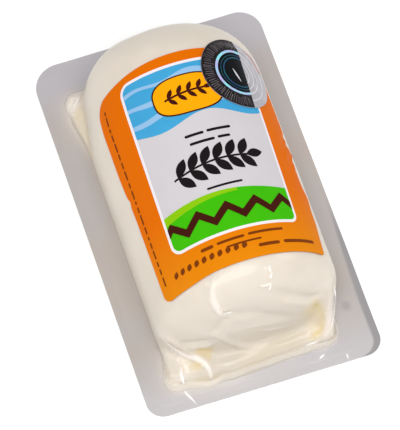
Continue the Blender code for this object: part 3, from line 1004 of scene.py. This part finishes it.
# Where its body fades: at its foot, at its top and towards the log's sides.
SKIRT_FADE_FOOT = (0.0, 0.3)
SKIRT_FADE_TOP = (0.6, 1.0)
SKIRT_FADE_SIDES = (38.0, 43.0)
SKIRT_CELLS = 160
SKIRT_LEVELS = 10


def foot_rays(level):
    """Points round the pocket's near end at a height, from level rays that fan out over half a turn."""
    turn = np.linspace(math.pi, 2.0 * math.pi, SKIRT_CELLS + 1)
    direction = np.stack([np.cos(turn), np.sin(turn), np.zeros_like(turn)], axis=-1)
    start = np.zeros_like(direction) + [0.0, NEAR_DOME_START, level]
    return ray_end(pocket_distance, start, direction)


def foot_skirt():
    """Slack film at the foot of the near end, which leaves the pocket and sweeps onto the sheet.

    At the share h of its height it has gone (1 - h)^SKIRT_SWEEP of the way from the pocket's side to
    where it lands. How far out it lands changes along it as a sum of two sines.
    """
    share = np.linspace(0.0, 1.0, SKIRT_LEVELS)
    foot = foot_rays(CHEESE_FLOOR)
    outward = slope_of(pocket_distance, foot)
    outward[:, 2] = 0.0
    along = np.linspace(0.0, 1.0, len(foot))
    change = sum(part * np.sin(often * along + start) for often, start, part in SKIRT_WAVES)
    ear = SKIRT_EAR * smooth_step(*EAR_LEFT, -foot[:, 0]) * smooth_step(*EAR_NEAR, -foot[:, 1])
    landed = foot + outward * (SKIRT_REACH + ear + SKIRT_CHANGE * change)[:, None]
    rings = []
    for h in share:
        ring = foot_rays(CHEESE_FLOOR + h * (SKIRT_HEIGHT - CHEESE_FLOOR))
        landed[:, 2] = ring[:, 2]
        fall = (1.0 - h) ** SKIRT_SWEEP
        side = ring + slope_of(pocket_distance, ring) * SKIRT_OFF
        rings.append(side * (1.0 - fall) + landed * fall)
    outer = np.stack(rings)
    normal = np.cross(np.gradient(outer, axis=1), np.gradient(outer, axis=0))
    normal /= np.linalg.norm(normal, axis=-1, keepdims=True)
    rise = np.broadcast_to(share[:, None], outer.shape[:2])
    body = smooth_step(*SKIRT_FADE_FOOT, rise) * (1.0 - smooth_step(*SKIRT_FADE_TOP, rise))
    body = body * smooth_step(*SKIRT_FADE_SIDES, -outer[..., 1])
    skin = closed_skin(outer, outer - normal * SKIRT_THICK)
    piece = add_slack("foot_skirt", [(skin, np.tile(body.ravel(), 2))], foot_film())
    add_attribute(piece, "rise", np.tile(rise.ravel(), 2))


# How far the label's under side and upper side stand over the film.
LABEL_LOW = 0.10
LABEL_HIGH = 0.30
# The label's own edges, in arc across the log from its top line and in y along it.
LABEL_LEFT = -25.0
LABEL_RIGHT = 27.1
LABEL_NEAR = -32.35
LABEL_FAR = 28.8
LABEL_BOW = 0.0035
LABEL_CORNERS = (2.4, 1.3, 5.0, 3.0)
# Small puckers where its sides are pulled to the right, or to the left if the depth is below 0:
# the place along the side, half width and depth.
LEFT_PULLS = ((-3.0, 1.1, 0.45),)
RIGHT_PULLS = ((-15.0, 2.6, 1.2), (-1.6, 1.2, 1.7), (1.0, 0.9, -0.7), (-4.4, 0.9, -0.5))
# The thickness of a layer of ink, the gap under it, and the mesh's cells on the print and the paper.
INK = 0.03
INK_GAP = 0.004
CELL = 0.65
PAPER_CELL = 0.45


def pulled(y, pulls):
    """The sum of several pulls on an edge, each depth exp(-((y - place) / half width)^2)."""
    return sum(depth * np.exp(-(((y - place) / half) ** 2)) for place, half, depth in pulls)


def label_left(y):
    """The label's left edge: straight, drawn out towards its far end, with one small nick."""
    return LABEL_LEFT - 0.8 * smooth_step(-10.0, 6.0, y) + pulled(y, LEFT_PULLS)


def label_right(y):
    """The label's right edge: further out at its far end, drawn in at its near end, and pulled."""
    drawn = 1.4 * smooth_step(-6.0, 8.0, y) - 2.0 * smooth_step(20.0, 32.0, -y)
    return LABEL_RIGHT + drawn + pulled(y, RIGHT_PULLS)


def label_far(arc):
    """The label's far edge, bowed back towards its sides."""
    return LABEL_FAR - LABEL_BOW * arc**2


def label_near(arc):
    """The label's near edge, drawn out a little towards its left corner."""
    return LABEL_NEAR - 0.6 * smooth_step(8.0, 20.0, -arc)


def edge_at(edge, where):
    """An edge's value: a function of where, or one number."""
    return edge(where) if callable(edge) else np.full_like(where, edge)


def field(left, right, low, high, corners=(0.0, 0.0, 0.0, 0.0), cell=CELL):
    """Arc and y over an area between two side edges and two end edges, as two grids.

    Rows run from low to high, and columns from left to right. The sides draw in by quarter circles
    at the corners: near left, near right, far left, far right.
    """
    middle = np.zeros(1)
    width = float((edge_at(right, middle) - edge_at(left, middle))[0])
    height = float((edge_at(high, middle) - edge_at(low, middle))[0])
    rows = max(int(math.ceil(abs(height) / cell)) * 2, 6)
    columns = max(int(math.ceil(width / cell)), 4)
    v = crowded(rows)[:, None]
    u = np.linspace(0.0, 1.0, columns + 1)[None, :]
    y_middle = edge_at(low, middle) * (1.0 - v) + edge_at(high, middle) * v
    guess = edge_at(left, y_middle) * (1.0 - u) + edge_at(right, y_middle) * u
    y_low = edge_at(low, guess)
    y_high = edge_at(high, guess)
    y = y_low * (1.0 - v) + y_high * v
    near_left, near_right, far_left, far_right = corners
    from_near = y - y_low
    to_far = y_high - y
    s_left = edge_at(left, y) + corner_inset(from_near, near_left) + corner_inset(to_far, far_left)
    s_right = edge_at(right, y) - corner_inset(from_near, near_right) - corner_inset(to_far, far_right)
    return s_left * (1.0 - u) + s_right * u, y


def bar(left, right, y, height):
    """A plain bar with round ends, just short of half circles so that its end rows keep a width."""
    end = height / 2.0 - 0.001
    return field(left, right, y - height / 2.0, y + height / 2.0, (end, end, end, end))


def oval(centre, half_width, half_height, power=2.0, count=24):
    """A filled oval |x|^n + |y|^n = 1, by the square-to-disc rule stretched towards a rectangle."""
    share = np.linspace(-1.0, 1.0, count + 1)
    b, a = np.meshgrid(share, share, indexing="ij")
    x = a * np.sqrt(1.0 - b * b / 2.0)
    y = b * np.sqrt(1.0 - a * a / 2.0)
    radius = np.hypot(x, y)
    turn = np.arctan2(y, x)
    reach = (np.abs(np.cos(turn)) ** power + np.abs(np.sin(turn)) ** power) ** (-1.0 / power)
    return (
        centre[0] + half_width * radius * reach * np.cos(turn),
        centre[1] + half_height * radius * reach * np.sin(turn),
    )


def leaf(base, length, width, degrees):
    """A pointed leaf from its base: its width is (1 - t^2) of the full one at t along it.

    t stops just short of -1 and 1, so that its ends keep a width.
    """
    t, u = np.meshgrid(np.linspace(-0.985, 0.985, 13), np.linspace(-0.5, 0.5, 5), indexing="ij")
    along = (t + 1.0) / 2.0 * length
    across = u * width * (1.0 - t * t)
    cos = math.cos(math.radians(degrees))
    sin = math.sin(math.radians(degrees))
    return base[0] + along * cos + across * sin, base[1] + along * sin - across * cos


# The leafy sprigs: half the thickness of the stem, and how far the leaves lean from it in degrees.
STEM_HALF = 0.28
LEAF_LEAN = 52.0


def leafy_sprig(start, end, pairs, length, width, bow):
    """A thin bowed stem with pairs of leaves that lean towards its tip, and one leaf on the tip."""
    start = np.array(start)
    line = np.array(end) - start
    turn = math.degrees(math.atan2(line[1], line[0]))

    def stem_at(t):
        return start + line * t + np.array([0.0, bow * math.sin(math.pi * t)])

    def stem_y(arc):
        t = np.clip((arc - start[0]) / line[0], 0.0, 1.0)
        return start[1] + line[1] * t + bow * np.sin(math.pi * t)

    def stem_low(arc):
        return stem_y(arc) - STEM_HALF

    def stem_high(arc):
        return stem_y(arc) + STEM_HALF

    parts = [field(start[0], end[0], stem_low, stem_high)]
    for k in range(pairs):
        foot = stem_at((k + 0.35) / pairs)
        parts.append(leaf(foot, length, width, turn + LEAF_LEAN))
        parts.append(leaf(foot, length, width, turn - LEAF_LEAN))
    parts.append(leaf(stem_at(0.98), length * 0.9, width, turn))
    return parts


def add_print(name, fields, layer, material):
    """Lays fields of one ink on the label, as skins INK thick, on the layers of ink under them."""
    low = LABEL_HIGH + INK * layer
    skins = []
    for arc, y in fields:
        skins.append(closed_skin(wrap_point(arc, y, low + INK), wrap_point(arc, y, low + INK_GAP)))
    add_piece(name, *joined(skins), material, "label_paper")


def paper_label():
    """The paper of the label: one field out to its edges, which lies over the film's folds."""
    arc, y = field(label_left, label_right, label_near, label_far, LABEL_CORNERS, PAPER_CELL)
    skin = closed_skin(wrap_point(arc, y, LABEL_HIGH), wrap_point(arc, y, LABEL_LOW))
    piece = add_piece("paper_label", *skin, orange_paper(), "label_paper")
    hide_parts("label")


# The printed panel, inside its white keyline. Its sides lean by these shares from y = PANEL_FOOT.
PANEL_NEAR = -23.9
PANEL_FAR = 25.9
PANEL_FOOT = -24.0
PANEL_LEFT = -17.4
PANEL_LEFT_LEAN = 0.022
PANEL_RIGHT = 18.2
PANEL_RIGHT_LEAN = 0.055
KEYLINE = 0.8
PANEL_CORNERS = (3.0, 2.4, 3.2, 3.0)


def panel_left(y):
    """The panel's left edge, leaning a little."""
    return PANEL_LEFT + PANEL_LEFT_LEAN * (y - PANEL_FOOT)


def panel_right(y):
    """The panel's right edge, leaning a little."""
    return PANEL_RIGHT + PANEL_RIGHT_LEAN * (y - PANEL_FOOT)


def inner_left(y):
    """The left edge of the fields, inside the keyline."""
    return panel_left(y) + KEYLINE


def inner_right(y):
    """The right edge of the fields, inside the keyline."""
    return panel_right(y) - KEYLINE


def sky_edge(arc):
    """The lower edge of the blue field: a long slow wave."""
    return 9.6 + 1.3 * np.sin(arc * 0.26 + 0.6)


def meadow_edge(arc):
    """The upper edge of the green field: a low swell."""
    return -13.0 + 0.9 * np.sin(arc * 0.13 + 1.9)


def light_edge(arc):
    """The lower edge of the light green field, which runs up into the green field's own edge."""
    return meadow_edge(arc) - 2.4 + 0.075 * (arc + 17.0)


def wave_band(level, thickness, swing, turn):
    """A wavy band across the blue field, at a level: a sine curve and one above it."""

    def low(arc):
        return level + swing * np.sin(arc * 0.42 + turn)

    def high(arc):
        return low(arc) + thickness * (0.75 + 0.25 * np.sin(arc * 0.21 + turn))

    return field(inner_left, inner_right, low, high)


def zigzag_band(level, swing, pitch, thickness):
    """A zigzag across the green field: a triangle wave of that pitch, thickened up and down."""

    def middle(arc):
        return level + swing * (4.0 * np.abs((arc / pitch) % 1.0 - 0.5) - 1.0)

    return field(
        inner_left,
        inner_right,
        lambda arc: middle(arc) - thickness / 2.0,
        lambda arc: middle(arc) + thickness / 2.0,
        cell=0.2,
    )


def label_print():
    """The label's print: a generic scene of waves, leaves and a zigzag, with plain bars for wording."""
    white = printed_paper("white_coated_paper", "#E4DFE1", "#DDD8DB")
    pale = printed_paper("pale_lilac_ink", "#C7C3C6", "#C1BDC0")
    blue = printed_paper("sky_blue_ink", "#449FCC", "#3A93C3")
    light_blue = printed_paper("pale_blue_ink", "#91B8DA", "#86AFD4")
    green = printed_paper("leaf_green_ink", "#3FB40C", "#37A908")
    lime = printed_paper("lime_green_ink", "#86BE10", "#7CB40E")
    brown = printed_paper("dark_brown_ink", "#42190E", "#38140C")
    amber = printed_paper("amber_ink", "#F8A408", "#F29A04")
    black = printed_paper("black_ink", "#161214", "#1E191C")
    rust = printed_paper("rust_brown_ink", "#7A3A0C", "#6C320A")
    low = PANEL_NEAR + KEYLINE
    high = PANEL_FAR - KEYLINE
    inner = [radius - KEYLINE for radius in PANEL_CORNERS]
    panel = field(panel_left, panel_right, PANEL_NEAR, PANEL_FAR, PANEL_CORNERS)
    ground = field(inner_left, inner_right, low, high, inner)
    sky = field(inner_left, inner_right, sky_edge, high, (0.0, 0.0, inner[2], inner[3]))
    meadow = field(inner_left, inner_right, low, meadow_edge, (inner[0], inner[1], 0.0, 0.0))
    add_print("print_keyline", [panel], 0, white)
    add_print("print_ground", [ground], 1, pale)
    add_print("print_sky", [sky], 2, blue)
    bands = [(21.6, 1.7, 0.5, 0.4), (17.0, 2.0, 0.6, 2.0), (12.4, 1.6, 0.5, 3.4)]
    add_print("print_waves", [wave_band(*band) for band in bands], 3, light_blue)
    add_print("print_meadow", [meadow], 2, green)
    add_print("print_light_meadow", [field(inner_left, 4.0, light_edge, meadow_edge)], 3, lime)
    add_print("print_zigzag", [zigzag_band(-18.2, 1.7, 7.6, 2.5)], 4, brown)
    plaque = (0.6, 16.6)
    small_sprig = leafy_sprig((-5.6, 16.2), (5.0, 17.2), 4, 3.0, 1.2, 0.3)
    add_print("print_plaque_edge", [oval(plaque, 9.2, 5.6, 2.8)], 4, brown)
    add_print("print_plaque", [oval(plaque, 8.8, 5.2, 2.8)], 5, amber)
    add_print("print_plaque_leaves", small_sprig, 6, brown)
    add_print("print_sprig", leafy_sprig((-10.2, -5.4), (10.2, -3.6), 6, 5.4, 2.5, 0.9), 2, black)
    lines = [bar(-4.0, 1.0, 4.8, 0.75), bar(1.8, 8.2, 4.9, 0.75), bar(-3.4, 3.2, 2.4, 0.75)]
    lines += [bar(4.0, 7.4, 2.5, 0.75), bar(-3.2, 6.2, -10.8, 0.6)]
    add_print("print_small_bars", lines, 2, black)
    lower = [bar(-10.0, -6.6, -25.9, 0.9), bar(-5.6, 1.6, -25.8, 0.7), bar(2.6, 12.2, -25.7, 0.7)]
    lower += [bar(-3.6, 5.6, -27.5, 0.5)]
    add_print("print_lower_bars", lower, 1, rust)
    beads = [leaf((s, -29.2), 2.0, 1.3, 62.0) for s in np.arange(-19.0, 0.5, 2.15)]
    beads += [bar(4.2, 10.0, -29.4, 0.9), bar(11.2, 21.4, -29.3, 0.9)]
    add_print("print_beads", beads, 1, rust)
    dashes = []
    draw = np.random.default_rng(3)
    y = 22.8
    while y > -28.5:
        length = draw.uniform(0.9, 3.2)
        dashes.append(field(-23.15, -22.65, y - length, y))
        y -= length + draw.uniform(0.5, 0.9)
    add_print("print_side_dashes", dashes, 1, rust)


# The foil seal: a disc over the label's far right corner, its middle in arc and y, how far it
# stands over the film, its thickness, and how far past the label's edge it begins and ends to fall.
SEAL_RADIUS = 10.6
SEAL_ARC = 16.6
SEAL_Y = 20.6
SEAL_LOW = 0.56
SEAL_THICK = 0.12
SEAL_FALL = (0.2, 2.4)
# The dark part, partly print and partly a painted dark reflection of the foil, ends along a slanted line
# this far from the seal's middle.
DARK_EDGE = 2.1
DARK_SLANT = math.radians(-4.9)
# The thickness of its print, the gap under it, and the bare border round the dark part.
SEAL_INK = 0.02
SEAL_INK_GAP = 0.003
SEAL_BORDER = 0.05


def seal_point(arc, y, lift):
    """A place on the seal, which comes down from the label to the film past the label's edges."""
    past = np.maximum(arc - label_right(y), y - label_far(arc))
    drop = (SEAL_LOW - LABEL_LOW) * smooth_step(*SEAL_FALL, past)
    return wrap_point(arc, y, SEAL_LOW + lift - drop)


def seal_segment(radius, rows=60, cells=30):
    """Arc and y over a disc of the seal, cut off along the edge of the dark part.

    Each row is a chord along that edge: at -r cos(turn) from the middle it is 2 r sin(turn) long.
    The first row is a short chord, not a point.
    """
    turn = np.linspace(0.04, math.acos(-DARK_EDGE / radius), rows + 1)[:, None]
    ahead = -radius * np.cos(turn) + np.zeros(cells + 1)
    side = radius * np.sin(turn) * np.linspace(1.0, -1.0, cells + 1)
    cosine = math.cos(DARK_SLANT)
    sine = math.sin(DARK_SLANT)
    return SEAL_ARC + ahead * cosine - side * sine, SEAL_Y + ahead * sine + side * cosine


def seal_ring(inner, outer, dark=True, cells=120):
    """Arc and y over a ring of the seal, cut off along the edge of the dark part.

    At a radius r the cut is where r cos(turn) is DARK_EDGE, so each arc runs to acos(DARK_EDGE / r).
    """
    r = np.linspace(inner, outer, max(int((outer - inner) / 0.5), 1) + 1)[:, None]
    cut = np.arccos(np.clip(DARK_EDGE / r, -1.0, 1.0))
    first, last = (cut, 2.0 * math.pi - cut) if dark else (-cut, cut)
    turn = DARK_SLANT + last + (first - last) * np.linspace(0.0, 1.0, cells + 1)
    return SEAL_ARC + r * np.cos(turn), SEAL_Y + r * np.sin(turn)


def seal_skin(grid, layer):
    """A field on the seal as a skin SEAL_INK thick, on the layers under it."""
    arc, y = grid
    low = SEAL_THICK + SEAL_INK * layer
    return closed_skin(seal_point(arc, y, low + SEAL_INK), seal_point(arc, y, low + SEAL_INK_GAP))


def spokes(inner, outer, count):
    """Fine lines from ring to ring of the seal, of seeded length and width, on its dark side.

    A line whose outer end would come past the edge of the dark part is left out.
    """
    draw = np.random.default_rng(11)
    skins = []
    for k in range(count):
        turn = 2.0 * math.pi * (k + draw.uniform(-0.2, 0.2)) / count
        first = inner + draw.uniform(0.0, 0.3) * (outer - inner)
        last = outer - draw.uniform(0.0, 0.25) * (outer - inner)
        if last * math.cos(turn - DARK_SLANT) > DARK_EDGE - 0.3:
            continue
        r = np.linspace(first, last, 5)[:, None]
        half = draw.uniform(0.04, 0.09)
        across = half * np.array([1.0, -1.0])[None, :]
        arc = SEAL_ARC + r * math.cos(turn) - across * math.sin(turn)
        y = SEAL_Y + r * math.sin(turn) + across * math.cos(turn)
        skins.append(seal_skin((arc, y), 1))
    return skins


def round_seal():
    """The seal: silver disc, a dark part of print and painted dark reflection with rings and spokes, pale
    rings on its bare side.
    """
    silver = seal_film("silver_foil", "#B3B0B5", "#A8A5AA", 0.35, 0.32)
    dark = seal_film("dark_foil_print_and_reflection", "#181516", "#221D1F", 0.1, 0.4)
    deep = seal_film("deep_blue_black_foil_print", "#030508", "#070C12", 0.1, 0.3)
    cyan = seal_film("cyan_foil_print", "#8FE0E8", "#B5B2E4", 0.2, 0.3)
    teal = seal_film("teal_foil_print", "#1E6A72", "#2C4E7A", 0.3, 0.3)
    grey = seal_film("grey_foil_print", "#7E787D", "#655F64", 0.3, 0.34)
    pale = seal_film("pale_grey_foil_print_and_glint", "#DEDBE0", "#D6D3D8", 0.2, 0.3)
    red = seal_film("red_foil_print", "#C4502A", "#B8482C", 0.1, 0.34)
    arc, y = oval((SEAL_ARC, SEAL_Y), SEAL_RADIUS, SEAL_RADIUS, count=56)
    skin = closed_skin(seal_point(arc, y, SEAL_THICK), seal_point(arc, y, 0.0))
    piece = add_piece("seal_disc", *skin, silver, "seal_foil")
    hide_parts("round_seal")
    teal_rings = [seal_ring(4.3, 4.6), seal_ring(5.2, 5.35)]
    pale_rings = [seal_ring(r, r + 0.2, dark=False, cells=60) for r in (3.4, 5.0, 6.4, 8.4)]
    inks = (
        ("seal_dark_print_and_reflection", [seal_skin(seal_segment(SEAL_RADIUS - SEAL_BORDER), 0)], dark),
        ("seal_centre", [seal_skin(seal_segment(6.0), 1)], deep),
        ("seal_cyan_ring", [seal_skin(seal_ring(6.1, 6.8), 1)], cyan),
        ("seal_teal_rings", [seal_skin(ring, 2) for ring in teal_rings], teal),
        ("seal_spokes", spokes(7.2, 10.3, 90), grey),
        ("seal_pale_rings", [seal_skin(ring, 0) for ring in pale_rings], pale),
    )
    for name, skins, material in inks:
        add_piece(name, *joined(skins), material, "seal_foil")
    turn = np.linspace(math.radians(8.0), math.radians(56.0), 41)[None, :]
    r = np.array([[9.6], [9.3]])
    line = (SEAL_ARC + r * np.cos(turn), SEAL_Y + r * np.sin(turn))
    add_piece("seal_red_line", *seal_skin(line, 0), red, "seal_foil")
    # A pale streak over the dark middle, partly the foil's own pattern and partly a painted glint.
    streak = leaf((SEAL_ARC - 1.6, SEAL_Y + 1.3), 4.4, 0.5, -72.0)
    add_piece("seal_streak_and_glint", *seal_skin(streak, 2), pale, "seal_foil")


def place_matrix(across, up, back, place):
    """The matrix of an object from its own three directions and its place."""
    matrix = np.eye(4)
    matrix[:3] = np.column_stack([across, up, back, place])
    return Matrix(matrix.tolist())


# Half the floor's width in metres, the strength of the white surround, and the soft lights: place
# and size in metres and power in watts.
FLOOR_HALF = 3.0
SURROUND = 0.42
SOFTBOXES = (
    ("overhead_softbox", (-0.06, -0.3, 0.95), 0.7, 7.4),
    ("right_softbox", (0.9, 0.1, 0.6), 0.5, 2.2),
    ("left_softbox", (-0.95, 0.15, 0.35), 0.5, 2.1),
    ("near_softbox", (0.15, -0.95, 0.3), 0.5, 1.25),
)


def studio():
    """A pale floor, a white surround, one large soft light overhead and three weaker ones round it."""
    material, tree, shader = new_material("white_seamless_paper", {"Roughness": 0.9})
    place = add_node(tree, "ShaderNodeTexCoord").outputs["Object"]
    paper = clouded(tree, place, 40.0, 2.0, (0.0, 1.0), "#F8F8F8", "#F6F6F6")
    tree.links.new(paper, shader.inputs["Base Color"])
    mesh = bpy.data.meshes.new("floor")
    corners = [(x * FLOOR_HALF, y * FLOOR_HALF, 0.0) for x, y in ((-1, -1), (1, -1), (1, 1), (-1, 1))]
    mesh.from_pydata(corners, [], [(0, 1, 2, 3)])
    mesh.materials.append(material)
    floor = bpy.data.objects.new("floor", mesh)
    bpy.context.scene.collection.objects.link(floor)
    world = bpy.data.worlds.new("studio_white")
    world.use_nodes = True
    background = world.node_tree.nodes["Background"]
    background.inputs["Color"].default_value = (1.0, 1.0, 1.0, 1.0)
    background.inputs["Strength"].default_value = SURROUND
    bpy.context.scene.world = world
    # Colours go to the picture as they are lit, without a film look.
    bpy.context.scene.view_settings.view_transform = "Standard"
    for name, place, size, power in SOFTBOXES:
        light = bpy.data.lights.new(name, "AREA")
        light.shape = "DISK"
        light.size = size
        light.energy = power
        lamp = bpy.data.objects.new(name, light)
        back = np.array(place) / np.linalg.norm(place)
        side = np.cross((0.0, 1.0, 0.0), back)
        side /= np.linalg.norm(side)
        lamp.matrix_world = place_matrix(side, np.cross(back, side), back, place)
        bpy.context.scene.collection.objects.link(lamp)


# The camera, solved from the sheet's four corners in a picture of 400 by 430 pixels. Its sensor
# spans the picture's longer side. Lengths are in metres but for the sensor's, in millimetres.
IMAGE_HEIGHT = 430
FOCAL_PIXELS = 4000.0
SENSOR = 36.0
CLIP_END = 10.0
AZIMUTH = math.radians(-19.351)
ELEVATION = math.radians(64.538)
ROLL = math.radians(1.127)
DISTANCE = 1.0423
AIM = np.array([-0.001600, -0.001220, 0.0])


def add_camera():
    """The camera looks at AIM from DISTANCE away, turned by ROLL about its line of sight."""
    back = np.array(
        [
            math.sin(AZIMUTH) * math.cos(ELEVATION),
            -math.cos(AZIMUTH) * math.cos(ELEVATION),
            math.sin(ELEVATION),
        ]
    )
    level = np.array([math.cos(AZIMUTH), math.sin(AZIMUTH), 0.0])
    up = np.cross(back, level)
    data = bpy.data.cameras.new("camera")
    data.sensor_width = SENSOR
    data.lens = SENSOR * FOCAL_PIXELS / IMAGE_HEIGHT
    data.clip_end = CLIP_END
    camera = bpy.data.objects.new("camera", data)
    across = level * math.cos(ROLL) + up * math.sin(ROLL)
    upward = up * math.cos(ROLL) - level * math.sin(ROLL)
    camera.matrix_world = place_matrix(across, upward, back, AIM + back * DISTANCE)
    bpy.context.scene.collection.objects.link(camera)
    bpy.context.scene.camera = camera


add_camera()
studio()
welded_rim()
cheese_log()
formed_film()
foot_skirt()
loose_film()
film_folds()
paper_label()
label_print()
round_seal()
